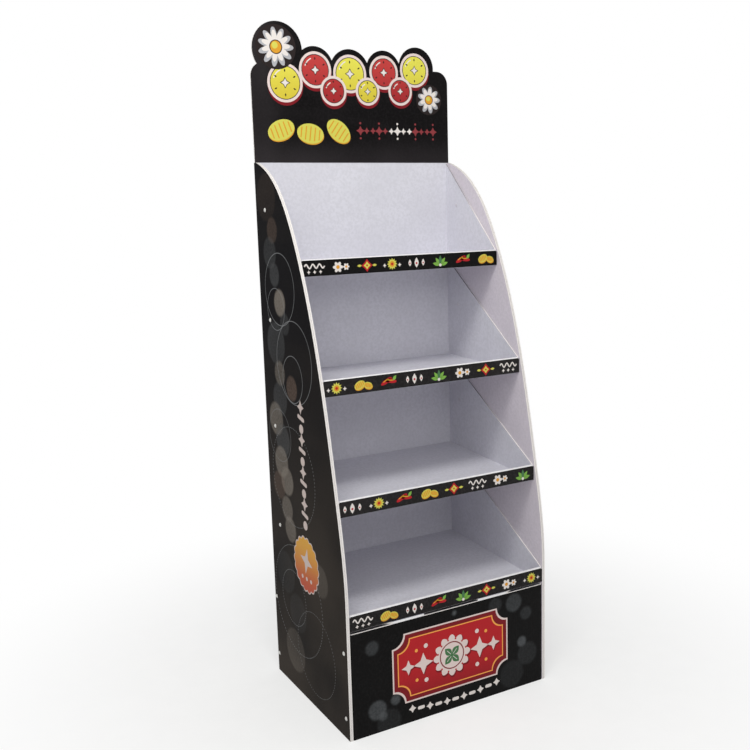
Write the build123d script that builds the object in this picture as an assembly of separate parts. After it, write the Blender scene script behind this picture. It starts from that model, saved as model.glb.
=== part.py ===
"""Cardboard floor display stand: a printed shell with four open trays, a base and a header card.

Millimetres. X runs from the viewer's left to right, -Y is the front, +Z is up.
The origin is on the floor, in the middle of the stand.
"""

import math
import os

from build123d import *

# Shell and body
stand_width = 600.0
stand_depth = 444.0
shell_board = 4.2
liner_board = 4.2

# Side outline: upright, then leaning back past each lip, then round into the back
upright_above_lip = 7.9
edge_reveal = 2.0
shoulder_setback = 318.0
shoulder_drop = 57.0
shoulder_angle = 74.0
top_flat = 16.0

# Base and the deck on it
base_height = 274.0
base_board = 4.0
deck_board = 5.5
deck_recess = 12.0
tab_outer = 171.0
tab_inner = 82.0
tab_bevel = 26.0

# Trays, from the lowest to the top one
tray_board = 3.0
lip_height = 42.0
tier_heights = (275.0, 283.0, 283.0, 286.9)
lip_setbacks = (0.0, 35.0, 96.0, 193.0)
rear_rises = (22.0, 25.0, 12.0, 14.0)
ear_length = 60.0
lock_tab_width = 42.0
lock_tab_pitch = 260.0

# Header card: a panel with a row of round bumps, and a tongue behind the top tray
header_board = 4.0
header_inset = 1.0
header_side_height = 252.0
header_corner = 35.0
tongue_depth = 200.0
bump_radii = (70.0, 56.0, 60.0, 54.0, 56.0)
bump_rises = (34.0, -8.0, -14.0, -6.0, 6.0)
first_bump_from_left = 77.0
last_bump_from_right = 103.0

# Push rivets, two plastic halves each; what the heads hide has few flat sides
rivet_head_radius = 5.5
rivet_head_bevel = 1.9
rivet_head_height = 2.0
cap_height = 1.5
sleeve_radius = 3.0
pin_radius = 1.8
shank_sides = 8
tray_rivet_above_lip = 123.0
tray_rivet_from_back = 63.0
base_rivet_above_floor = 53.0
base_rivet_below_top = 51.0
base_rivet_from_front = 18.0
base_rivet_from_back = 13.0

# Folds and clearances
fold_inside = 0.5
sheet_fit = 0.4
seat_fit = 0.3
hole_fit = 0.25
pin_fit = 0.15

# Faces that the pieces share
front_face = -stand_depth / 2
back_face = stand_depth / 2
liner_outer_x = stand_width / 2 - shell_board - seat_fit
liner_inner_x = liner_outer_x - liner_board
nest_half_width = liner_inner_x - sheet_fit
nest_back = back_face - shell_board - sheet_fit
tray_back = nest_back - header_board - sheet_fit

# Levels of each tray: lip's bottom and top at the front, underside and wall at the back
deck_level = base_height + seat_fit
first_lip_bottom = deck_level + deck_board + seat_fit
lip_faces = [front_face + setback for setback in lip_setbacks]
lip_bottoms = [first_lip_bottom + sum(tier_heights[:tier]) for tier in range(len(tier_heights))]
lip_tops = [bottom + lip_height for bottom in lip_bottoms]
body_height = first_lip_bottom + sum(tier_heights)
rear_bottoms = [bottom + rise for bottom, rise in zip(lip_bottoms, rear_rises)]
wall_tops = [bottom - seat_fit for bottom in rear_bottoms[1:]] + [body_height]
deck_rise = rear_rises[0] * (nest_back - front_face) / (tray_back - lip_faces[0])


def folded(points, board):
    """Cross-section of a bent sheet whose outer face runs through the points."""
    path = FilletPolyline(*points, radius=board + fold_inside)
    return make_face(Wire(path.edges()).offset_2d(board, side=Side.LEFT))


def across(face, half_width):
    """Solid of a Y-Z outline, from -half_width to half_width in X."""
    return extrude(Plane.YZ * face, amount=half_width, both=True)


def side_outline(rear):
    """Outline of a side panel: the front edge leans back and curves into the top."""
    crest = [(y - edge_reveal, top) for y, top in zip(lip_faces[1:], lip_tops[1:])]
    start = (front_face, lip_tops[0] + upright_above_lip)
    shoulder = (front_face + shoulder_setback, body_height - shoulder_drop)
    end = (back_face - top_flat, body_height)
    lean = math.radians(shoulder_angle)
    leans = ((0, 1), (math.sin(lean), math.cos(lean)))
    curve = Spline(start, *crest, shoulder, end, tangents=leans)
    frame = Polyline(end, (rear, body_height), (rear, 0), (front_face, 0), start)
    return make_face(curve.edges() + frame.edges())


def tray_rivet_spots():
    """Y and Z of the rivet that holds each tray to a side."""
    y = back_face - tray_rivet_from_back
    return [(y, top + tray_rivet_above_lip) for top in lip_tops]


def base_rivet_spots():
    """Y and Z of the four rivets that hold the base to a side."""
    rows = (front_face + base_rivet_from_front, back_face - base_rivet_from_back)
    levels = (base_rivet_above_floor, base_height - base_rivet_below_top)
    return [(y, z) for y in rows for z in levels]


def shank(radius, start, end):
    """Upright prism between two heights: a pin, a sleeve or the hole for one."""
    return Pos(0, 0, start) * extrude(RegularPolygon(radius, shank_sides), amount=end - start)


def bored(solid, spots):
    """Rivet holes through a piece, from side to side."""
    drill = Rot(0, 90, 0) * shank(sleeve_radius + hole_fit, -stand_width, stand_width)
    return solid - [Pos(0, y, z) * drill for y, z in spots]


def outer_shell():
    """One sheet folded at the two back corners: back panel and both printed sides."""
    half = stand_width / 2
    corners = [(half, front_face), (half, back_face), (-half, back_face), (-half, front_face)]
    wrap = extrude(folded(corners, shell_board), amount=body_height)
    wrap &= across(side_outline(back_face), stand_width)
    return bored(wrap, tray_rivet_spots() + base_rivet_spots())


def side_liner(side):
    """Inner sheet of a side, cut to the same outline; side is -1 (left) or 1 (right)."""
    panel = extrude(Plane.YZ * side_outline(nest_back), amount=liner_board)
    panel = bored(panel, tray_rivet_spots() + base_rivet_spots())
    return Pos(liner_inner_x if side > 0 else -liner_outer_x, 0, 0) * panel


def base_box():
    """Front panel of the base, folded back along both sides, with tops that follow the deck."""
    half = nest_half_width
    corners = [(-half, nest_back), (-half, front_face), (half, front_face), (half, nest_back)]
    wrap = extrude(folded(corners, base_board), amount=base_height + deck_rise)
    outline = Polyline(
        (front_face, 0),
        (nest_back, 0),
        (nest_back, base_height + deck_rise),
        (front_face, base_height),
        close=True,
    )
    wrap &= across(make_face(outline), stand_width)
    return bored(wrap, base_rivet_spots())


def base_deck():
    """Flat sheet over the base, with two tabs that show above the front panel's edge."""
    profile = Polyline(
        (front_face, deck_level),
        (nest_back, deck_level + deck_rise),
        (nest_back, deck_level + deck_rise + deck_board),
        (front_face, deck_level + deck_board),
        close=True,
    )
    recessed = front_face + deck_recess
    depth = nest_back - recessed
    plan = Pos(0, recessed + depth / 2) * Rectangle(2 * nest_half_width, depth)
    for side in (-1, 1):
        tab = Polyline(
            (side * tab_inner, nest_back),
            (side * tab_inner, front_face),
            (side * tab_outer, front_face),
            (side * (tab_outer + tab_bevel), recessed),
            (side * (tab_outer + tab_bevel), nest_back),
            close=True,
        )
        plan += make_face(tab)
    return across(make_face(profile), stand_width) & extrude(plan, amount=body_height)


def tray(index):
    """One folded sheet: sloping floor, back wall, two cut-down sides and a rolled front lip."""
    lip_y, bottom, top = lip_faces[index], lip_bottoms[index], lip_tops[index]
    rear, wall_top = rear_bottoms[index], wall_tops[index]
    slope = (rear - bottom) / (tray_back - lip_y)
    lip_depth = 3 * tray_board + 2 * seat_fit
    roll_y = lip_y + lip_depth
    roll_bottom = bottom + tray_board + slope * lip_depth + seat_fit

    # Middle strip over the full width: lip, floor and back wall
    fold_top = top - tray_board - fold_inside
    strip = [(lip_y, fold_top), (lip_y, bottom), (tray_back, rear), (tray_back, wall_top)]
    sheet = across(folded(strip, tray_board), nest_half_width)

    # The lip rolls over inwards and down again, and stops short of the side walls
    roll = [(roll_y, roll_bottom), (roll_y, top), (lip_y, top), (lip_y, bottom + lip_height / 2)]
    wall_inner_x = nest_half_width - tray_board
    sheet += across(folded(roll, tray_board), wall_inner_x - seat_fit)

    # Side walls, bent up from the floor, each with an ear tucked into the rolled lip
    wall_y = lip_y + tray_board + seat_fit
    wall_bottom = bottom + slope * (wall_y - lip_y)
    fold = FilletPolyline(
        (wall_y, wall_bottom),
        (tray_back, rear),
        (tray_back, wall_top),
        radius=tray_board + fold_inside,
    )
    rim = Polyline((tray_back, wall_top), (wall_y, top), (wall_y, wall_bottom))
    wall = extrude(Plane.YZ * make_face(fold.edges() + rim.edges()), amount=tray_board)
    ear_top = top - tray_board - seat_fit
    ear = Box(ear_length, tray_board, ear_top - roll_bottom, align=(Align.MIN, Align.MIN, Align.MIN))
    for side in (-1, 1):
        wall_x = wall_inner_x if side > 0 else -nest_half_width
        ear_x = nest_half_width - ear_length if side > 0 else -nest_half_width
        sheet += Pos(wall_x, 0, 0) * wall
        sheet += Pos(ear_x, wall_y, roll_bottom) * ear

    # Tabs below the lip's inner wall, locked into slots in the floor
    hang = (Align.CENTER, Align.MAX, Align.MIN)
    slot_size = (lock_tab_width + 2 * seat_fit, tray_board + 2 * seat_fit, roll_bottom - bottom)
    slot = Box(*slot_size, align=hang)
    tab = Box(lock_tab_width, tray_board, 2 * tray_board, align=hang)
    tab_foot = bottom + slope * lip_depth + seat_fit
    for x in (-lock_tab_pitch / 2, lock_tab_pitch / 2):
        sheet -= Pos(x, roll_y + seat_fit, bottom) * slot
        sheet += Pos(x, roll_y, tab_foot) * tab
    return bored(sheet, [tray_rivet_spots()[index]])


def header_card():
    """Flat card: full-width panel with a bumpy top, and a narrower tongue below it."""
    foot = body_height + seat_fit
    half = stand_width / 2 - header_inset
    panel = Pos(0, foot + header_side_height / 2) * Rectangle(2 * half, header_side_height)
    panel = fillet(panel.vertices().group_by(Axis.Y)[-1], header_corner)
    first, last = first_bump_from_left - half, half - last_bump_from_right
    pitch = (last - first) / (len(bump_radii) - 1)
    for number, (radius, rise) in enumerate(zip(bump_radii, bump_rises)):
        panel += Pos(first + number * pitch, foot + header_side_height + rise) * Circle(radius)
    tongue_height = tongue_depth + header_side_height / 2
    panel += Pos(0, foot - tongue_depth + tongue_height / 2) * Rectangle(
        2 * nest_half_width, tongue_height
    )
    plane = Plane(origin=(0, nest_back, 0), x_dir=(1, 0, 0), z_dir=(0, -1, 0))
    return extrude(plane * panel, amount=header_board)


def rivet_head(height):
    """Round plastic head with a bevelled rim, standing on the sheet along +Z."""
    face_radius = rivet_head_radius - rivet_head_bevel
    return Cone(rivet_head_radius, face_radius, height, align=(Align.CENTER, Align.CENTER, Align.MIN))


def rivet_stud(stack):
    """Outer half of a push rivet: a head below the plane Z 0 and a pin through the stack."""
    return Rot(180, 0, 0) * rivet_head(rivet_head_height) + shank(pin_radius, 0, stack - pin_fit)


def rivet_cap(stack):
    """Inner half of a push rivet: a head on the innermost sheet and a sleeve round the pin."""
    sleeve = shank(sleeve_radius, shell_board / 2, stack)
    bore = shank(pin_radius + pin_fit, shell_board / 2, stack)
    return Pos(0, 0, stack) * rivet_head(cap_height) + (sleeve - bore)


def rivets(half):
    """All copies of one rivet half, as a group: one per tray and four per base side."""
    tray_stack = stand_width / 2 - nest_half_width + tray_board
    base_stack = stand_width / 2 - nest_half_width + base_board
    group = []
    for side in (-1, 1):
        for spots, stack in ((tray_rivet_spots(), tray_stack), (base_rivet_spots(), base_stack)):
            shape = half(stack)
            for y, z in spots:
                seat = Location((side * stand_width / 2, y, z), (0, -90 * side, 0))
                group.append(seat * shape)
    return Compound(group)


def main():
    nodes = {
        "outer_shell": outer_shell(),
        "side_liner_left": side_liner(-1),
        "side_liner_right": side_liner(1),
        "base_box": base_box(),
        "base_deck": base_deck(),
        "header_card": header_card(),
        "rivet_studs": rivets(rivet_stud),
        "rivet_caps": rivets(rivet_cap),
    }
    for index in range(len(tier_heights)):
        nodes[f"tray_{index + 1}"] = tray(index)
    os.makedirs("parts", exist_ok=True)
    for name, shape in nodes.items():
        export_step(shape, f"parts/{name}.step")


main()
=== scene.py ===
"""Dresses the cardboard display stand: boards, cut edges, print, rivets, light and camera.

Metres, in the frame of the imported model: +X to the right, -Y the front, +Z up. The flat print
is drawn in millimetres on each face and scaled when its pieces are made.
"""

import math
import random

import bmesh
import bpy
from mathutils import Matrix, Vector
from mathutils.geometry import tessellate_polygon


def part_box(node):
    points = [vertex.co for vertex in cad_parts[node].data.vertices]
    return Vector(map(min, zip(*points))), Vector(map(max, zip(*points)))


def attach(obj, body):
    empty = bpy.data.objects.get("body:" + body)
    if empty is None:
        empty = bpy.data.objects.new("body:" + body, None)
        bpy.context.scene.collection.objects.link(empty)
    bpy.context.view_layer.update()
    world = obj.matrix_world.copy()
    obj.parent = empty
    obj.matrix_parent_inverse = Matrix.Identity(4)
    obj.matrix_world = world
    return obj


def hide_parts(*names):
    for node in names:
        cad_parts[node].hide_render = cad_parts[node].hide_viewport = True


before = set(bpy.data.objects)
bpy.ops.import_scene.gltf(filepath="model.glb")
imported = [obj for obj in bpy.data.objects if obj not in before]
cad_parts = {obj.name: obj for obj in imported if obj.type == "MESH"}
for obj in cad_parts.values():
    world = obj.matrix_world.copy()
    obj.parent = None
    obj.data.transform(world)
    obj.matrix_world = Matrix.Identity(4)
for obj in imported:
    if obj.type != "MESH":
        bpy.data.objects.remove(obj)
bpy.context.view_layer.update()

MM = 0.001
X, Y, Z = range(3)

# Camera: where the photograph was taken from, with its lens and sensor in millimetres
camera_place = (-1.2227, -2.0968, 1.2601)
camera_yaw = math.radians(-28.587)
camera_pitch = math.radians(9.628)
camera_roll = math.radians(-1.73)
camera_lens = 44.66
camera_sensor = 36

# Light: the world's strength, and the place, target, size, power and colour of each lamp
world_strength = 0.51
plain_white = (1, 1, 1)
warm_white = (1, 1, 0.95)
lamps = {
    "ceiling": ((-0.9, -1.2, 2.9), (-0.1, 0.1, 0.8), (1.2, 0.2), 30, warm_white),
    "front": ((-0.4, -2.4, 1.9), (0, 0, 0.6), (1.6, 0.6), 6.2, warm_white),
    "left": ((-1.4, -1.8, 2.2), (0, 0, 0.8), (1.0, 0.8), 6.1, warm_white),
    "high": ((-1.0, -0.2, 2.2), (0.3, 0.1, 1.25), (0.3, 0.3), 0.8, plain_white),
}

# Floor: its radius, the distances from the stand's middle over which it goes over to plain
# white, the share of white that it starts with, and its colours
floor_radius = 12
floor_fade = (0.35, 1.5)
least_white = 0.55
floor_grey, floor_pale = (0.90, 0.90, 0.90), (0.93, 0.93, 0.93)

# Boards, in metres: the sides, the base and the deck on it, the header card and the trays
stand_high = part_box("outer_shell")[1]
liner_low, liner_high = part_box("side_liner_right")
shell_board = liner_high.x - liner_low.x
base_board = 0.004
deck_board = 0.0055
header_board = 0.004
tray_board = 0.003
lip_height = 0.042
bare_strip = 0.0022
fold_inset = 0.0015
edge_rounding = 0.00015
rivet_rounding = 0.0002
tray_numbers = range(1, 5)

# Corrugation of the boards: pitch of the waves, and each paper face's share of the board
coarse_pitch = 0.0072
fine_pitch = 0.0034
liner_share = 0.09

# Inks, papers and plastic, and the colours of painted light, painted shade and painted reflections,
# linear colour
print_black = (0.0042, 0.0040, 0.0041)
# Black of the lower lips, the print black lightened as painted light
lit_lip_black = (0.0125, 0.0115, 0.0118)
header_black = (0.0044, 0.0039, 0.0042)
side_black = (0.0032, 0.0028, 0.0035)
# Painted reflections in the varnished black: the colours that the print of the sides and of the
# header lightens to
side_reflection = (0.067, 0.055, 0.045)
header_reflection = (0.038, 0.033, 0.036)
uncoated_white = (0.668, 0.662, 0.728)
liner_white = (0.672, 0.622, 0.685)
coated_white = (0.86, 0.85, 0.87)
cut_white = (0.93, 0.89, 0.87)
# Grey of the base front's top edge, darker than the other cut edges
edge_grey = (0.42, 0.41, 0.42)
# Painted shade where a tray wall's cut edge meets the joint behind
painted_gap_shade = (0.27, 0.255, 0.285)
worn_grey = (0.30, 0.29, 0.28)
speck_grey = (0.50, 0.48, 0.46)
stud_white = (0.66, 0.65, 0.63)
cap_white = (0.60, 0.575, 0.63)
ink_red = (0.45, 0.015, 0.021)
ink_bright_red = (0.49, 0.049, 0.046)
ink_deep_red = (0.33, 0.020, 0.024)
ink_brick = (0.25, 0.040, 0.046)
ink_dark_red = (0.19, 0.008, 0.014)
ink_yellow = (0.62, 0.59, 0.10)
ink_bright_yellow = (0.715, 0.675, 0.09)
ink_deep_yellow = (0.62, 0.50, 0.045)
ink_amber = (0.66, 0.31, 0.03)
ink_gold = (0.88, 0.37, 0.08)
ink_flame = (0.66, 0.33, 0.025)
ink_orange = (0.44, 0.045, 0.012)
ink_cream = (0.74, 0.69, 0.665)
ink_blush = (0.73, 0.61, 0.585)
ink_sand = (0.58, 0.485, 0.455)
ink_green = (0.065, 0.175, 0.072)
ink_leaf = (0.20, 0.42, 0.07)
ink_grey = (0.40, 0.40, 0.43)
ink_dark = (0.018, 0.012, 0.012)

# Specular level of the print on the sides, on the header and elsewhere
side_shine = 0.008
header_shine = 0.04
print_shine = 0.05

# Print, in millimetres: step from one layer of ink to the next, how far outside and inside its
# radius a printed disc fades, and how far beside its middle a ring's line ends and is full
ink_step = 0.04
disc_outer, disc_inner = 3, 7
line_end, line_full = 1.4, 0.5

# Lips: the middle of the small pictures above the lip's foot, in millimetres, and the seed of
# their order
picture_height = 20
lip_seed = 40

# Heights between which inks fade: on the base, on the header's slices and on the side's seal
base_fade = (0.0, 0.16)
slice_fade = (1.56, 1.69)
seal_fade = (0.32, 0.45)

# Soft edges: distance at which corners are one, and the angles that count as flat, as an edge
# to be rounded and as one that stays sharp in the shading
weld_distance = 2e-6
flat_angle = math.radians(0.1)
edge_angle = 0.6
sharp_angle = math.radians(32)

# How much of a face's normal lies along an axis, from nearly all of it to hardly any, and the
# distance in which two places count as the same
square, mostly, half, partly, barely = 0.9, 0.75, 0.5, 0.3, 0.05
snug = 1e-5

# Order of the materials of a printed board and of a white one
PRINT, FACE, CUT, MORE, BACK = range(5)
PAPER, EDGE, COATED = range(3)


class Nodes:
    """Builds one node material; each call adds a node and returns its output."""

    def __init__(self, name):
        self.material = bpy.data.materials.new(name)
        self.material.use_nodes = True
        self.tree = self.material.node_tree
        self.shader = self.tree.nodes["Principled BSDF"]
        self.point = self.tree.nodes.new("ShaderNodeTexCoord").outputs["Object"]

    def add(self, kind, inputs, output=0, **settings):
        node = self.tree.nodes.new(kind)
        for key, value in settings.items():
            setattr(node, key, value)
        for key, value in inputs.items():
            if isinstance(value, bpy.types.NodeSocket):
                self.tree.links.new(value, node.inputs[key])
            else:
                node.inputs[key].default_value = value
        return node.outputs[output]

    def math(self, operation, first, second=0.0):
        return self.add("ShaderNodeMath", {0: first, 1: second}, operation=operation)

    def step(self, value, low, high, top=1.0):
        """Smooth step from 0 at low to top at high."""
        inputs = {"Value": value, "From Min": low, "From Max": high, "To Max": top}
        return self.add("ShaderNodeMapRange", inputs, interpolation_type="SMOOTHSTEP")

    def mix(self, factor, first, second):
        """Mix of two colours, which are inputs 6 and 7 and output 2 of the node."""
        colours = {0: factor, 6: first, 7: second}
        return self.add("ShaderNodeMix", colours, 2, data_type="RGBA")

    def axes(self):
        parts = self.add("ShaderNodeSeparateXYZ", {0: self.point}).node.outputs
        return parts[X], parts[Y], parts[Z]

    def noise(self, scale, detail=2.0, stretch=(1, 1, 1)):
        point = self.add("ShaderNodeVectorMath", {0: self.point, 1: stretch}, operation="MULTIPLY")
        return self.add("ShaderNodeTexNoise", {"Vector": point, "Scale": scale, "Detail": detail})

    def wave(self, along, pitch):
        """Sine along one coordinate, from -1 to 1."""
        return self.math("SINE", self.math("MULTIPLY", along, 2 * math.pi / pitch))

    def bump(self, height, distance, normal=None):
        inputs = {"Height": height, "Distance": distance, "Strength": 1.0}
        if normal is not None:
            inputs["Normal"] = normal
        return self.add("ShaderNodeBump", inputs)

    def finish(self, colour, roughness, normal, specular):
        self.set("Base Color", colour)
        self.set("Roughness", roughness)
        self.set("Normal", normal)
        self.set("Specular IOR Level", specular)
        return self.material

    def set(self, name, value):
        if isinstance(value, bpy.types.NodeSocket):
            self.tree.links.new(value, self.shader.inputs[name])
        else:
            self.shader.inputs[name].default_value = value


def rgba(colour, scale=1.0):
    return (*[c * scale for c in colour], 1.0)


# Materials

def white_board(name, paper_white, across, pitch):
    """Smooth white paper face, whose faint flute lines follow one another across an axis."""
    n = Nodes(name)
    fibre = n.noise(900, 4, (1, 1, 0.35))
    cloud = n.noise(9, 4)
    blotch = n.noise(130, 3)
    speck = n.noise(260, 2)
    colour = n.mix(n.step(cloud, 0.3, 0.7), rgba(paper_white, 0.975), rgba(paper_white, 1.045))
    colour = n.mix(n.step(blotch, 0.36, 0.66, 0.7), colour, rgba(paper_white, 0.89))
    colour = n.mix(n.step(fibre, 0.35, 0.75, 0.4), colour, rgba(paper_white, 0.91))
    colour = n.mix(n.step(speck, 0.70, 0.78, 0.3), colour, rgba(speck_grey))
    ripple = n.wave(n.axes()[across], pitch)
    normal = n.bump(n.noise(4.5, 1), 0.0010)
    normal = n.bump(ripple, pitch * 0.004, normal)
    normal = n.bump(blotch, 0.00010, normal)
    normal = n.bump(fibre, 0.00004, normal)
    roughness = n.step(cloud, 0.2, 0.8, 0.12)
    return n.finish(colour, n.math("ADD", roughness, 0.5), normal, 0.35)


def cut_edge(name, across, along, middle, board, pitch, shade=0.8, white=cut_white, shade_band=None):
    """Cut board: two paper faces and a wave between them, with the hollows in shade.

    across and along are the axes of the board's thickness and of its edge, and middle is where
    the thickness has its middle, on both sides of the stand if across is X. The last argument is
    the range of heights over which the edge darkens to grey, as painted shade of the joint behind."""
    n = Nodes(name)
    axes = n.axes()
    place = n.math("ABSOLUTE", axes[across]) if across == X else axes[across]
    offset = n.math("SUBTRACT", place, middle)
    depth = board * (0.5 - liner_share)
    wave = n.math("MULTIPLY", n.wave(axes[along], pitch), depth * 0.86)
    to_wave = n.math("ABSOLUTE", n.math("SUBTRACT", offset, wave))
    medium = n.step(to_wave, board * 0.08, board * 0.14)
    inside = n.step(n.math("ABSOLUTE", offset), depth * 1.08, depth * 0.9)
    hollow = n.math("MULTIPLY", medium, inside)
    fibre = n.noise(2600, 3)
    paper = n.mix(n.step(fibre, 0.3, 0.75), rgba(white, 1.03), rgba(white, 0.9))
    inner = n.mix(n.step(fibre, 0.3, 0.7), rgba(white, 0.86), rgba(white, 0.74))
    colour = n.mix(n.math("MULTIPLY", hollow, shade), paper, inner)
    # Painted shade: the edge darkens to grey over a band of heights, for the shade of the joint
    # behind
    if shade_band is not None:
        colour = n.mix(n.step(axes[Z], *shade_band, 0.85), colour, rgba(painted_gap_shade))
    height = n.math("SUBTRACT", n.math("MULTIPLY", fibre, 0.2), hollow)
    return n.finish(colour, 0.8, n.bump(height, 0.0003), 0.3)


def printed(name, black, across, up, shine, reflections=(), fold=None, discs=(), rings=()):
    """Varnished black print on a board whose flutes stand upright, with painted reflections.

    across and up are the axes of the face. Broad lighter patches in the black are painted
    reflection. Each of the reflections is a painted reflection, a colour that the print takes in
    streaky bands and along one axis, with the places where it starts and is full. fold is the place
    across where the board is creased. The soft discs and the thin or dotted rings printed in it
    have their places and sizes in millimetres."""
    n = Nodes(name)
    axes = n.axes()
    flat = n.add("ShaderNodeCombineXYZ", {0: axes[across], 1: axes[up]})
    sheen_and_mottle = n.noise(3.1, 2)
    fine = n.noise(1500, 2)
    wear = n.noise(170, 5)
    # Painted reflection: the black is lightened in broad patches
    colour = n.mix(n.step(sheen_and_mottle, 0.35, 0.72), rgba(black), rgba(black, 1.45))
    colour = n.mix(n.step(wear, 0.42, 0.66, 0.5), colour, rgba(black, 2.6))
    # Painted reflections: streaky bands of each tint, and the tint itself towards one end of the
    # face
    for axis, tint, start, full in reflections:
        reflection_bands = n.noise(2.6, 2, (1, 0.25, 3.2))
        colour = n.mix(n.step(reflection_bands, 0.5, 0.72, 0.25), colour, rgba(tint, 0.45))
        low = n.step(axes[axis], start, full, 0.75)
        colour = n.mix(n.math("MULTIPLY", low, n.step(sheen_and_mottle, 0.1, 0.75)), colour, rgba(tint))

    mottle = n.math("ADD", n.step(wear, 0.2, 0.8, 0.35), n.step(sheen_and_mottle, 0.2, 0.8, 0.5))
    mottle = n.math("ADD", mottle, 0.3)

    def reach(u, v):
        inputs = {0: flat, 1: (u * MM, v * MM, 0)}
        return n.add("ShaderNodeVectorMath", inputs, 1, operation="DISTANCE")

    for u, v, radius, strength, tint in discs:
        outer, inner = (radius + disc_outer) * MM, (radius - disc_inner) * MM
        share = n.step(reach(u, v), outer, inner, strength)
        colour = n.mix(n.math("MULTIPLY", share, mottle), colour, rgba(tint))
    for u, v, radius, strength, dashes in rings:
        away = n.math("ABSOLUTE", n.math("SUBTRACT", reach(u, v), radius * MM))
        line = n.step(away, line_end * MM, line_full * MM, strength * 0.75)
        if dashes:
            side = n.math("SUBTRACT", axes[across], u * MM)
            rise = n.math("SUBTRACT", axes[up], v * MM)
            turn = n.math("MULTIPLY", n.math("ARCTAN2", rise, side), dashes)
            line = n.math("MULTIPLY", line, n.step(n.math("SINE", turn), -0.1, 0.3))
        colour = n.mix(line, colour, rgba(line_grey))

    colour = n.mix(n.step(fine, 0.45, 0.8, 0.35), colour, rgba(black, 2.0))
    if fold is not None:
        crease = n.math("ABSOLUTE", n.math("SUBTRACT", axes[across], fold))
        crease = n.math("MULTIPLY", n.step(crease, 0.0035, 0.0012, 0.4), n.step(wear, 0.54, 0.66))
        colour = n.mix(crease, colour, rgba(worn_grey))
    normal = n.bump(n.wave(axes[across], coarse_pitch), 0.00004)
    normal = n.bump(fine, 0.00002, normal)
    roughness = n.math("ADD", n.step(sheen_and_mottle, 0.2, 0.8, 0.1), 0.36)
    return n.finish(colour, roughness, normal, shine)


def ink(name, colour, second=None, fade=None):
    """Printed ink with a fine screen; it may fade to a second colour between two heights."""
    n = Nodes(name)
    screen = n.noise(1400, 2)
    base = rgba(colour)
    if second is not None:
        low, high = fade
        base = n.mix(n.step(n.axes()[Z], low, high), rgba(second), rgba(colour))
    grain = n.mix(n.step(screen, 0.35, 0.75, 0.2), base, rgba(colour, 0.62))
    ripple = n.bump(n.wave(n.axes()[X], coarse_pitch), 0.00003)
    roughness = n.math("ADD", n.step(screen, 0.3, 0.7, 0.08), 0.38)
    return n.finish(grain, roughness, n.bump(screen, 0.00002, ripple), 0.12)


def plastic(name, white):
    """Milky plastic of the push rivets."""
    n = Nodes(name)
    cloud = n.noise(420, 3)
    colour = n.mix(n.step(cloud, 0.35, 0.7), rgba(white, 0.91), rgba(white, 1.09))
    normal = n.bump(cloud, 0.00003)
    roughness = n.math("ADD", n.step(cloud, 0.3, 0.7, 0.1), 0.28)
    return n.finish(colour, roughness, normal, 0.4)


# Soft print of the sides and of the base's front, in millimetres: each disc has its place across
# and up, radius, strength and tint, and each ring its place, radius, strength and dashes in a turn
warm, cool, brown = (0.25, 0.22, 0.19), (0.105, 0.108, 0.112), (0.20, 0.14, 0.11)
mist = (0.088, 0.094, 0.100)
line_grey = (0.30, 0.31, 0.32)
side_discs = (
    (150, 1318, 62, 0.10, brown),
    (120, 1235, 34, 0.40, brown),
    (142, 1178, 42, 0.45, cool),
    (118, 1122, 32, 0.50, cool),
    (92, 1052, 36, 0.85, warm),
    (66, 1000, 30, 0.35, cool),
    (128, 945, 58, 0.45, cool),
    (112, 868, 34, 0.70, warm),
    (40, 838, 34, 0.65, brown),
    (118, 800, 46, 0.50, cool),
    (150, 742, 46, 0.70, warm),
    (112, 690, 46, 0.55, cool),
    (128, 628, 44, 0.75, warm),
    (96, 582, 40, 0.75, warm),
    (150, 560, 40, 0.35, brown),
    (104, 505, 36, 0.65, warm),
    (88, 452, 36, 0.70, warm),
    (-86, 366, 44, 0.22, warm),
    (134, 320, 60, 0.22, cool),
    (64, 226, 54, 0.20, cool),
    # Partly print, partly painted light: this disc is made stronger to lighten the side's lower
    # rear
    (92, 110, 62, 0.26, warm),
)
side_rings = (
    (90, 1086, 92, 0.8, 0),
    (118, 1034, 54, 0.7, 0),
    (20, 905, 106, 0.8, 0),
    (32, 862, 60, 0.8, 0),
    (56, 602, 132, 0.8, 90),
    (130, 700, 70, 0.5, 0),
    (60, 262, 150, 0.8, 100),
    (86, 262, 76, 0.8, 60),
    (-40, 150, 112, 0.6, 80),
)
front_discs = (
    (-232, 226, 20, 0.5, mist),
    (-222, 60, 27, 0.9, mist),
    (-170, 74, 15, 1.0, mist),
    (-206, 40, 13, 0.9, mist),
    (-190, 20, 36, 0.2, mist),
    (8, 260, 8, 1.2, mist),
    (136, 250, 22, 0.3, mist),
    (196, 244, 27, 0.6, mist),
    (236, 206, 20, 0.3, mist),
    (222, 128, 16, 0.9, mist),
    (240, 90, 34, 0.22, mist),
    (188, 44, 40, 0.16, mist),
)

shell_middle = stand_high.x - shell_board / 2
back_middle = stand_high.y - shell_board / 2
back_fold = stand_high.y - fold_inset
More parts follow.
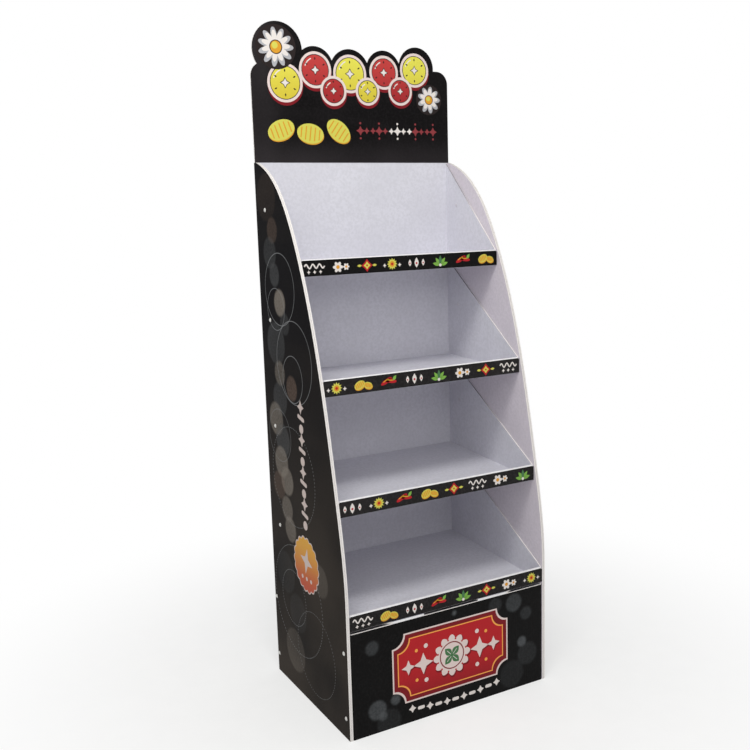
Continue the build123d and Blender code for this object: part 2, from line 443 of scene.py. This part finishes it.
# Painted reflections: the sides lighten towards the bottom, the header towards its foot and its
# left end
side_reflections = [(Z, side_reflection, 1.10, 0.15)]
side_print_and_reflections = (side_reflections, back_fold, side_discs, side_rings)
header_reflections = [(Z, header_reflection, 1.49, 1.40), (X, header_reflection, -0.20, -0.28)]
print_side = printed("print_side", side_black, Y, Z, side_shine, *side_print_and_reflections)
print_back = printed("print_back", print_black, X, Z, print_shine)
print_front = printed("print_front", print_black, X, Z, print_shine, discs=front_discs)
print_header = printed("print_header", header_black, X, Z, header_shine, header_reflections)
print_lip_lit = printed("print_lip_lit", lit_lip_black, X, Z, print_shine)
print_top_lip = printed("print_top_lip", print_black, X, Z, print_shine)
face_side = white_board("face_side", liner_white, Y, coarse_pitch)
face_front = white_board("face_front", uncoated_white, X, coarse_pitch)
face_tray = white_board("face_tray", uncoated_white, X, fine_pitch)
face_lip = white_board("face_lip", coated_white, X, fine_pitch)


# Boards: the model's solids with rounded edges and a material on each kind of face

def dressed(node, materials, pick, rounding=edge_rounding):
    """Stands for a node: same form, soft edges, and the material that pick gives each face."""
    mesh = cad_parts[node].data.copy()
    mesh.name = node + "_dressed"
    mesh.materials.clear()
    for material in materials:
        mesh.materials.append(material)
    bm = bmesh.new()
    bm.from_mesh(mesh)
    bmesh.ops.remove_doubles(bm, verts=bm.verts, dist=weld_distance)
    bmesh.ops.dissolve_limit(bm, angle_limit=flat_angle, verts=[], edges=bm.edges)
    bm.normal_update()
    for face in bm.faces:
        face.material_index = pick(face.calc_center_median(), face.normal)
    joined = [e for e in bm.edges if len(e.link_faces) == 2]
    folded = [e for e in joined if e.calc_face_angle() > edge_angle]
    shape = {"segments": 2, "profile": 0.5, "affect": "EDGES", "clamp_overlap": True}
    bmesh.ops.bevel(bm, geom=folded, offset=rounding, **shape)
    bm.to_mesh(mesh)
    bm.free()
    mesh.shade_smooth()
    mesh.set_sharp_from_angle(angle=sharp_angle)
    piece = bpy.data.objects.new(node + "_dressed", mesh)
    weighted = piece.modifiers.new("weighted", "WEIGHTED_NORMAL")
    weighted.mode = "FACE_AREA"
    weighted.weight = 90
    weighted.keep_sharp = True
    bpy.context.scene.collection.objects.link(piece)
    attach(piece, "root")
    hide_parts(node)


def dress_shell():
    """Print outside, bare board inside, and cut edges at the front and along the back's top."""
    side_cut = cut_edge("cut_side", X, Y, shell_middle, shell_board, coarse_pitch)
    back_cut = cut_edge("cut_back", Y, X, back_middle, shell_board, coarse_pitch)
    materials = (print_side, face_side, side_cut, back_cut, print_back)
    inner_face = shell_middle - shell_board / 2

    def pick(centre, normal):
        outward = normal.x * centre.x > 0
        side = abs(normal.x) > square and abs(centre.x) > shell_middle
        corner = abs(normal.x) > barely and normal.y > barely
        if normal.y > mostly:
            return BACK
        if outward and (side or corner):
            return PRINT
        if abs(normal.x) < half and abs(centre.x) > inner_face - snug:
            return CUT
        if abs(normal.z) > square:
            return MORE
        return FACE

    dressed("outer_shell", materials, pick)


def dress_liners():
    """Bare board with cut edges."""
    middle = (liner_low.x + liner_high.x) / 2
    cut = cut_edge("cut_liner", X, Y, middle, shell_board, coarse_pitch)

    def pick(centre, normal):
        return PAPER if abs(normal.x) > square else EDGE

    for side in ("left", "right"):
        dressed("side_liner_" + side, (face_side, cut), pick)


def dress_base():
    """Print in front, with a grey top edge, and bare board on the returns at the sides."""
    low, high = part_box("base_box")
    front_middle, side_middle = low.y + base_board / 2, high.x - base_board / 2
    board = (base_board, coarse_pitch)
    front_cut = cut_edge("cut_base_front", Y, X, front_middle, *board, white=edge_grey)
    side_cut = cut_edge("cut_base_side", X, Y, side_middle, *board)
    materials = (print_front, face_front, front_cut, side_cut)

    def pick(centre, normal):
        level = abs(normal.z) > half
        if normal.y < -partly and centre.y < front_middle:
            return PRINT
        if abs(normal.x) < barely and (level or normal.y > square):
            if centre.y < low.y + base_board:
                return CUT if level else FACE
            return MORE
        return FACE

    dressed("base_box", materials, pick)


def dress_deck():
    """Bare board, with coated white on the front of the two tabs above the base."""
    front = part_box("base_box")[0].y
    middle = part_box("base_deck")[0].z + deck_board / 2
    cut = cut_edge("cut_deck", Z, X, middle, deck_board, coarse_pitch)

    def pick(centre, normal):
        if normal.y < -square and centre.y < front + MM:
            return COATED
        return PAPER if abs(normal.z) > square else EDGE

    dressed("base_deck", (face_front, cut, face_lip), pick)


def dress_header():
    """Print in front, bare board behind, and a cut edge all round."""
    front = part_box("header_card")[0].y
    cut = cut_edge("cut_header", Y, X, front + header_board / 2, header_board, coarse_pitch)

    def pick(centre, normal):
        if normal.y < -square:
            return PRINT
        return FACE if normal.y > square else CUT

    dressed("header_card", (print_header, face_front, cut), pick)


def dress_tray(number):
    """The print covers the lip's front; its rolled top keeps the bare coated white."""
    node = f"tray_{number}"
    low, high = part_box(node)
    middle = high.x - tray_board / 2
    lip_top = low.z + lip_height
    # Heights over which the wall's cut edge takes painted shade, in the upper part of the wall
    shade_band = [lip_top + share * (high.z - lip_top) for share in (0.35, 0.65)]
    wall_cut = cut_edge(f"cut_{node}", X, Y, middle, tray_board, fine_pitch, 0.35, shade_band=shade_band)
    lip_back = low.y + 3 * tray_board

    def pick(centre, normal):
        if normal.y < -partly and centre.y < low.y + tray_board / 2:
            return PRINT if centre.z < lip_top - bare_strip else MORE
        if normal.z > partly and abs(centre.z - lip_top) < tray_board and centre.y < lip_back:
            return MORE
        if abs(normal.x) < barely and abs(centre.x) > high.x - tray_board - snug:
            return CUT
        return FACE

    # Painted light: the lower lips take the lightened black, the top lip the plain print black
    lip = print_top_lip if number == tray_numbers[-1] else print_lip_lit
    dressed(node, (lip, face_tray, wall_cut, face_lip), pick)


def dress_rivets():
    """Milky plastic, a little darker for the caps inside the trays."""
    def pick(centre, normal):
        return 0

    for node, white in (("rivet_studs", stud_white), ("rivet_caps", cap_white)):
        material = plastic(node + "_plastic", white)
        dressed(node, [material], pick, rivet_rounding)


# Flat shapes in millimetres: each is a list of loops, the first the outline, the rest holes

def disc(u, v, radius, sides=48):
    turns = [2 * math.pi * i / sides for i in range(sides)]
    return [[(u + radius * math.cos(t), v + radius * math.sin(t)) for t in turns]]


def placed(loop, u, v, tilt):
    """A loop drawn round the origin, turned by the tilt and moved to its place."""
    c, s = math.cos(tilt), math.sin(tilt)
    return [(u + c * x - s * y, v + s * x + c * y) for x, y in loop]


def oval(u, v, wide, tall, tilt, sides=36):
    """Oval with its two half axes."""
    loop = []
    for i in range(sides):
        t = 2 * math.pi * i / sides
        loop.append((wide * math.cos(t), tall * math.sin(t)))
    return [placed(loop, u, v, tilt)]


def hoop(u, v, radius, width):
    return [disc(u, v, radius)[0], disc(u, v, radius - width)[0]]


def star(u, v, radius, inner, points, tilt=0.0):
    loop = []
    for i in range(2 * points):
        r = inner if i % 2 else radius
        t = math.pi * i / points + math.pi / 2 + tilt
        loop.append((u + r * math.cos(t), v + r * math.sin(t)))
    return [loop]


def petals(u, v, radius, depth, count, sides=10):
    """Rosette with round lobes."""
    loop = []
    for i in range(count * sides):
        t = 2 * math.pi * i / (count * sides)
        r = radius - depth * (1 - abs(math.cos(count * t / 2)))
        loop.append((u + r * math.cos(t), v + r * math.sin(t)))
    return [loop]


def leaf(u, v, length, width, tilt, sides=10):
    """Pointed leaf that starts with its stalk at (u, v) and points along +u before the tilt."""
    upper = []
    for i in range(sides + 1):
        upper.append((length * i / sides, width / 2 * math.sin(math.pi * i / sides)))
    lower = [(x, -y) for x, y in reversed(upper[1:-1])]
    return [placed(upper + lower, u, v, tilt)]


def bar(u, v, length, width, tilt=0.0, sides=8):
    """Bar with round ends."""
    loop = []
    radius = width / 2
    for end, start in ((1, -math.pi / 2), (-1, math.pi / 2)):
        for i in range(sides + 1):
            t = start + math.pi * i / sides
            loop.append((end * (length - width) / 2 + radius * math.cos(t), radius * math.sin(t)))
    return [placed(loop, u, v, tilt)]


def arc_band(u, v, radius, width, start, end, sides=14):
    """Part of a ring, between two angles."""
    turns = [start + (end - start) * i / sides for i in range(sides + 1)]
    outer, inner = [
        [(u + r * math.cos(t), v + r * math.sin(t)) for t in turns]
        for r in (radius, radius - width)
    ]
    return [outer + inner[::-1]]


def ribbon(start, end, height, swing, waves, width, sides=90):
    """Wavy stroke of even width."""
    upper, lower = [], []
    for i in range(sides + 1):
        share = i / sides
        phase = 2 * math.pi * waves * share
        u = start + (end - start) * share
        v = height + swing * math.sin(phase)
        slope = swing * math.cos(phase) * 2 * math.pi * waves / (end - start)
        scale = width / 2 / math.hypot(1, slope)
        upper.append((u - slope * scale, v + scale))
        lower.append((u + slope * scale, v - scale))
    return [upper + lower[::-1]]


def plaque(u, v, wide, tall, scoop, sides=10):
    """Label with hollow round corners."""
    loop = []
    for sx, sy, start in ((1, 1, 1.5), (-1, 1, 0.0), (-1, -1, 0.5), (1, -1, 1.0)):
        cu, cv = u + sx * wide / 2, v + sy * tall / 2
        for i in range(sides + 1):
            t = math.pi * (start - i / sides / 2)
            loop.append((cu + scoop * math.cos(t), cv + scoop * math.sin(t)))
    return [loop]


class Print:
    """Printed shapes on one flat face, gathered into one piece for each ink."""

    def __init__(self, name, place):
        self.name = name
        self.place = place
        self.shapes = {}

    def add(self, colour, loops, layer=1):
        self.shapes.setdefault(colour, []).append((loops, layer))

    def make(self, inks):
        for colour, shapes in self.shapes.items():
            mesh = bpy.data.meshes.new(f"{self.name}_{colour}")
            bm = bmesh.new()
            for loops, layer in shapes:
                self.solid(bm, loops, layer * ink_step)
            bmesh.ops.recalc_face_normals(bm, faces=bm.faces)
            bm.to_mesh(mesh)
            bm.free()
            mesh.materials.append(inks[colour])
            piece = bpy.data.objects.new(f"{self.name}_{colour}", mesh)
            bpy.context.scene.collection.objects.link(piece)
            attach(piece, "root")

    def solid(self, bm, loops, lift):
        """Closed sheet of ink between the board and its lift."""
        flat = [[Vector((u, v, 0)) for u, v in loop] for loop in loops]
        triangles = tessellate_polygon(flat)
        levels = []
        for height in (0.0, lift):
            points = [self.place(p.x, p.y, height) for loop in flat for p in loop]
            levels.append([bm.verts.new(point) for point in points])
        for corners in triangles:
            bm.faces.new([levels[1][i] for i in corners])
            bm.faces.new([levels[0][i] for i in reversed(corners)])
        first = 0
        for loop in flat:
            count = len(loop)
            for i in range(count):
                a, b = first + i, first + (i + 1) % count
                bm.faces.new((levels[0][a], levels[0][b], levels[1][b], levels[1][a]))
            first += count


def on_front(y):
    """Place on a face that looks to the front: u is X and v is Z."""
    return lambda u, v, lift: Vector((u * MM, y - lift * MM, v * MM))


def on_left(x):
    """Place on the left face: u is Y and v is Z."""
    return lambda u, v, lift: Vector((x - lift * MM, u * MM, v * MM))


def daisy(sheet, u, v, radius, count, layer):
    """Two rounds of petals on a dark disc, with an amber heart."""
    sheet.add("dark", disc(u, v, radius * 1.12), layer)
    sheet.add("grey", petals(u, v, radius, radius * 0.42, count), layer + 1)
    sheet.add("cream", petals(u, v + radius * 0.05, radius * 0.80, radius * 0.34, count), layer + 2)
    sheet.add("dark", disc(u, v, radius * 0.36), layer + 3)
    sheet.add("amber", disc(u, v, radius * 0.31), layer + 4)
    sheet.add("yellow", disc(u - radius * 0.06, v + radius * 0.08, radius * 0.17), layer + 5)


def slice_disc(sheet, u, v, radius, colour, layer):
    """Round slice with a drop shadow, a pale rim, a dark line, pips and a highlight."""
    rim, line = 7, 2
    sheet.add("shadow", disc(u + 1, v - 8, radius), layer)
    sheet.add("blush", hoop(u, v, radius, rim), layer + 1)
    sheet.add("dark", hoop(u, v, radius - rim, line), layer + 1)
    sheet.add(colour, disc(u, v, radius - rim - line), layer + 1)
    sheet.add("dark", star(u, v, radius * 0.30, radius * 0.15, 4), layer + 2)
    sheet.add("cream", star(u, v, radius * 0.23, radius * 0.11, 4), layer + 3)
    for i in range(6):
        turn = math.pi * (i / 3 + 1 / 6)
        away = radius * 0.53
        pip = leaf(u + away * math.cos(turn), v + away * math.sin(turn), radius * 0.17, 4, turn)
        sheet.add("dark", pip, layer + 2)
    sheet.add("cream", arc_band(u, v, radius - 15, 3, 0.62 * math.pi, 0.90 * math.pi), layer + 2)


def crisp(sheet, u, v, wide, tilt, layer=1):
    """Yellow ridged crisp."""
    tall = wide * 0.66
    sheet.add("amber", oval(u + 1, v - 3, wide, tall, tilt), layer)
    sheet.add("yellow", oval(u, v, wide, tall, tilt), layer + 1)
    for i in range(-2, 3):
        across = i * wide * 0.34
        length = 1.5 * tall * math.sqrt(1 - (across / wide) ** 2)
        place = placed([(across, 0)], u, v, tilt)[0]
        sheet.add("amber", bar(*place, length, 3.4, tilt + math.pi / 2), layer + 2)


def header_print():
    """Two rows of slices, two daisies, three crisps and a row of stars with dots."""
    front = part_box("header_card")[0].y
    sheet = Print("header", on_front(front))
    back_row = ((-116, 1648, 47), (-13, 1642, 50), (92, 1650, 45), (190, 1660, 46))
    front_row = ((-204, 1612, 50), (-64, 1596, 39), (40, 1598, 37), (143, 1602, 38))
    for number, (u, v, radius) in enumerate(back_row):
        slice_disc(sheet, u, v, radius, ("tomato", "lemon")[number % 2], 1)
    for number, (u, v, radius) in enumerate(front_row):
        slice_disc(sheet, u, v, radius, ("lemon", "tomato")[number % 2], 4)
    daisy(sheet, -226, 1700, 50, 11, 8)
    daisy(sheet, 236, 1582, 37, 9, 5)
    for number in range(3):
        crisp(sheet, -221 + 84 * number, 1492 - 8 * (number % 2), 39, 0.35 - 0.5 * number)
    first, pitch, height, dot_gap = 14, 19.5, 1494, 20
    for number in range(13):
        u, size = first + pitch * number, (13, 9, 9)[number % 3]
        colour = "cream" if 5 <= number < 9 else "brick"
        sheet.add(colour, star(u, height, size, size * 0.5, 4))
        if number % 3 == 0:
            for rise in (-dot_gap, dot_gap):
                sheet.add(colour, disc(u, height + rise, 3, 16))
    return sheet


def base_print():
    """A plaque with a rosette, stars and dots on it, and a row of stars and bars below."""
    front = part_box("base_box")[0].y
    sheet = Print("base", on_front(front))
    u, v, wide, tall, scoop = -1, 148, 352, 186, 34
    outline, rim, ring, field = [
        plaque(u, v, wide - inset, tall - inset, scoop)[0] for inset in (0, 8, 30, 36)
    ]
    sheet.add("blush", [outline, rim])
    sheet.add("dark_red", [rim, ring])
    sheet.add("gold", [ring, field])
    sheet.add("field", [field])
    sheet.add("dark_red", petals(u + 2, v - 4, 58, 12, 12), 2)
    sheet.add("blush", petals(u, v, 56, 12, 12), 3)
    sheet.add("dark_red", hoop(u, v, 37, 3), 4)
    for i in range(12):
        turn = math.pi * (i / 6 + 1 / 12)
        sheet.add("red", disc(u + 44 * math.cos(turn), v + 44 * math.sin(turn), 2.6, 16), 4)
    for i in range(4):
        turn = math.pi / 4 + i * math.pi / 2
        vein = placed([(13, 0)], u, v, turn)[0]
        sheet.add("green", leaf(u, v, 30, 19, turn), 4)
        sheet.add("cream", bar(*vein, 17, 1.5, turn), 5)
    for side in (-1, 1):
        for step, size in ((86, 29), (130, 20)):
            sheet.add("dark_red", star(u + side * step + 2, v - 4, size, size * 0.42, 4), 2)
            sheet.add("blush", star(u + side * step, v, size, size * 0.42, 4), 3)
        for rise in (-46, 46):
            sheet.add("blush", disc(u + side * 78, v + rise, 6, 24), 2)
            sheet.add("gold", disc(u + side * 106, v + rise * 0.86, 4.5, 20), 2)
    for i in range(11):
        across = (i - 5) * 26
        rise = 25 + 0.0006 * across * across
        shape = bar(across + 8, rise, 21, 9) if i % 2 else star(across + 8, rise, 11, 6, 4)
        sheet.add("cream", shape)
    return sheet


def side_print():
    """A round seal with a star, and a column of discs, bars and stars above it."""
    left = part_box("outer_shell")[0].x
    sheet = Print("side", on_left(left))
    u, v = -3, 383
    sheet.add("sand", petals(u, v, 77, 6, 18))
    sheet.add("fire", petals(u, v, 73.5, 6, 18), 2)
    sheet.add("sand", star(u - 2, v + 10, 36, 13, 4, 0.2), 3)
    for number in range(3):
        sheet.add("sand", disc(u - 26 + 26 * number, v - 38, 5.5, 24), 3)
    column, first, pitch = -9, 490, 28
    for number in range(12):
        height = first + pitch * number
        if number % 3 == 0:
            shape = disc(column, height, 12, 28)
        elif number % 3 == 1:
            shape = bar(column, height, 40, 11, 0.25)
        else:
            shape = star(column, height, 19, 9, 4)
        sheet.add("sand", shape)
    return sheet


# Small pictures for the lips, each about 50 mm wide and 30 mm tall round its centre

def sun(sheet, u, v):
    sheet.add("yellow", star(u, v, 15, 10, 12))
    sheet.add("amber", disc(u, v, 7.5, 24), 2)
    sheet.add("red", disc(u, v, 3.5, 20), 3)
    for side in (-1, 1):
        sheet.add("cream", star(u + side * 22, v - 3, 5.5, 2.5, 4))


def sprig(sheet, u, v):
    for tilt in (0.25, 0.9, 2.2, 2.9):
        sheet.add("leaf", leaf(u, v - 10, 24, 9, tilt))
    sheet.add("green", leaf(u, v - 10, 25, 9, math.pi / 2), 2)
    sheet.add("cream", disc(u, v - 10, 4, 20), 3)


def drops(sheet, u, v):
    for step, size in ((-20, 9), (0, 13), (20, 9)):
        sheet.add("cream", leaf(u + step, v - size, 2 * size, 0.95 * size, math.pi / 2))
        sheet.add("red", disc(u + step, v - size * 0.12, size * 0.22, 16), 2)


def pods(sheet, u, v):
    for step, tilt in ((-8, 0.5), (4, -0.2)):
        sheet.add("red", oval(u + step, v + 2, 17, 5.5, tilt))
        sheet.add("amber", oval(u + step - 2, v + 4, 9, 1.4, tilt), 2)
    sheet.add("leaf", leaf(u + 10, v + 2, 16, 8, 0.9), 2)


def bloom(sheet, u, v):
    for step, radius in ((-9, 14), (14, 9)):
        sheet.add("cream", petals(u + step, v, radius, radius * 0.4, 6))
        sheet.add("amber", disc(u + step, v, radius * 0.34, 20), 2)


def crisps(sheet, u, v):
    crisp(sheet, u - 10, v + 1, 15, 0.4)
    crisp(sheet, u + 13, v - 2, 12, -0.3, 4)


def ripple(sheet, u, v):
    sheet.add("cream", ribbon(u - 27, u + 27, v + 5, 5, 3, 3.4))
    for step in (-16, 0, 16):
        sheet.add("cream", star(u + step, v - 9, 5, 2.4, 4))


def gem(sheet, u, v):
    sheet.add("red", star(u, v, 16, 10, 4))
    sheet.add("yellow", star(u, v, 10, 6, 4), 2)
    sheet.add("red", disc(u, v, 2.6, 16), 3)
    for side in (-1, 1):
        sheet.add("yellow", leaf(u + side * 15, v, 13, 6, 0 if side > 0 else math.pi))


pictures = (sun, drops, crisps, sprig, bloom, pods, ripple, gem)


def lip_print(number):
    """The small pictures side by side, in an order of their own on each lip."""
    low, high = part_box(f"tray_{number}")
    sheet = Print(f"lip_{number}", on_front(low.y))
    order = random.Random(lip_seed + number).sample(pictures, len(pictures))
    pitch = 2 * high.x / MM / len(order)
    for place, picture in enumerate(order):
        picture(sheet, (place + 0.5) * pitch - high.x / MM, low.z / MM + picture_height)
    return sheet


def make_print():
    """One material for each ink, and the printed shapes of every face."""
    inks = {
        "red": ink("ink_red", ink_red),
        "field": ink("ink_field", ink_red, ink_dark_red, base_fade),
        "tomato": ink("ink_tomato", ink_bright_red, ink_deep_red, slice_fade),
        "lemon": ink("ink_lemon", ink_bright_yellow, ink_deep_yellow, slice_fade),
        "dark_red": ink("ink_dark_red", ink_dark_red),
        "shadow": ink("ink_shadow", ink_dark_red),
        "yellow": ink("ink_yellow", ink_yellow),
        "amber": ink("ink_amber", ink_amber),
        "gold": ink("ink_gold", ink_gold),
        "fire": ink("ink_fire", ink_flame, ink_orange, seal_fade),
        "cream": ink("ink_cream", ink_cream),
        "blush": ink("ink_blush", ink_blush),
        "sand": ink("ink_sand", ink_sand),
        "brick": ink("ink_brick", ink_brick),
        "green": ink("ink_green", ink_green),
        "leaf": ink("ink_leaf", ink_leaf),
        "grey": ink("ink_grey", ink_grey),
        "dark": ink("ink_dark", ink_dark),
    }
    for sheet in [header_print(), base_print(), side_print(), *map(lip_print, tray_numbers)]:
        sheet.make(inks)


# Floor, light and camera

def make_floor():
    """Pale floor that goes over to plain white away from the stand."""
    mesh = bpy.data.meshes.new("floor")
    bm = bmesh.new()
    bmesh.ops.create_circle(bm, cap_ends=True, segments=64, radius=floor_radius)
    bm.to_mesh(mesh)
    bm.free()
    floor = bpy.data.objects.new("floor", mesh)
    bpy.context.scene.collection.objects.link(floor)
    n = Nodes("floor")
    grain = n.noise(14, 3)
    colour = n.mix(n.step(grain, 0.3, 0.7), rgba(floor_grey), rgba(floor_pale))
    n.finish(colour, 0.75, n.bump(grain, 0.0005), 0.2)
    reach = n.add("ShaderNodeVectorMath", {0: n.point}, 1, operation="LENGTH")
    far = n.math("ADD", n.step(reach, *floor_fade, 1 - least_white), least_white)
    rays = n.tree.nodes.new("ShaderNodeLightPath").outputs
    seen = n.math("MAXIMUM", rays["Is Camera Ray"], rays["Is Glossy Ray"])
    seen = n.math("MAXIMUM", seen, rays["Is Transmission Ray"])
    white = n.add("ShaderNodeEmission", {"Color": (1, 1, 1, 1), "Strength": 1.0})
    shaders = {0: n.math("MULTIPLY", far, seen), 1: n.shader.outputs[0], 2: white}
    surface = n.add("ShaderNodeMixShader", shaders)
    n.tree.links.new(surface, n.tree.nodes["Material Output"].inputs["Surface"])
    mesh.materials.append(n.material)


def make_world():
    """Plain light all round; cameras and mirrors see it as white."""
    world = bpy.data.worlds.new("studio")
    world.use_nodes = True
    bpy.context.scene.world = world
    tree = world.node_tree
    background = tree.nodes["Background"]
    background.inputs["Color"].default_value = (1, 1, 1, 1)
    rays = tree.nodes.new("ShaderNodeLightPath").outputs
    seen = rays["Is Camera Ray"]
    for kind in ("Is Glossy Ray", "Is Transmission Ray"):
        either = tree.nodes.new("ShaderNodeMath")
        either.operation = "MAXIMUM"
        tree.links.new(seen, either.inputs[0])
        tree.links.new(rays[kind], either.inputs[1])
        seen = either.outputs[0]
    level = tree.nodes.new("ShaderNodeMapRange")
    tree.links.new(seen, level.inputs["Value"])
    level.inputs["To Min"].default_value = world_strength
    level.inputs["To Max"].default_value = 1.0
    tree.links.new(level.outputs[0], background.inputs["Strength"])


def make_lamp(name, place, target, size, power, colour):
    lamp = bpy.data.lights.new(name, "AREA")
    lamp.shape = "RECTANGLE"
    lamp.size, lamp.size_y = size
    lamp.energy = power
    lamp.color = colour
    holder = bpy.data.objects.new(name, lamp)
    holder.location = place
    aim = Vector(target) - Vector(place)
    holder.rotation_euler = aim.to_track_quat("-Z", "Y").to_euler()
    bpy.context.scene.collection.objects.link(holder)


def make_camera():
    """Camera turned by its yaw, pitch and roll, in that order."""
    forward = Vector((
        -math.sin(camera_yaw) * math.cos(camera_pitch),
        math.cos(camera_yaw) * math.cos(camera_pitch),
        -math.sin(camera_pitch),
    ))
    level_right = Vector((math.cos(camera_yaw), math.sin(camera_yaw), 0))
    level_up = level_right.cross(forward)
    c, s = math.cos(camera_roll), math.sin(camera_roll)
    right, up = c * level_right + s * level_up, c * level_up - s * level_right
    data = bpy.data.cameras.new("camera")
    data.lens = camera_lens
    data.sensor_width = camera_sensor
    data.sensor_fit = "HORIZONTAL"
    camera = bpy.data.objects.new("camera", data)
    turn = Matrix((right, up, -forward)).transposed().to_4x4()
    camera.matrix_world = Matrix.Translation(camera_place) @ turn
    bpy.context.scene.collection.objects.link(camera)
    bpy.context.scene.camera = camera


make_camera()
dress_shell()
dress_liners()
dress_base()
dress_deck()
dress_header()
for number in tray_numbers:
    dress_tray(number)
dress_rivets()
make_print()
make_floor()
make_world()
for name, lamp in lamps.items():
    make_lamp(name, *lamp)
bpy.context.scene.view_settings.view_transform = "Standard"
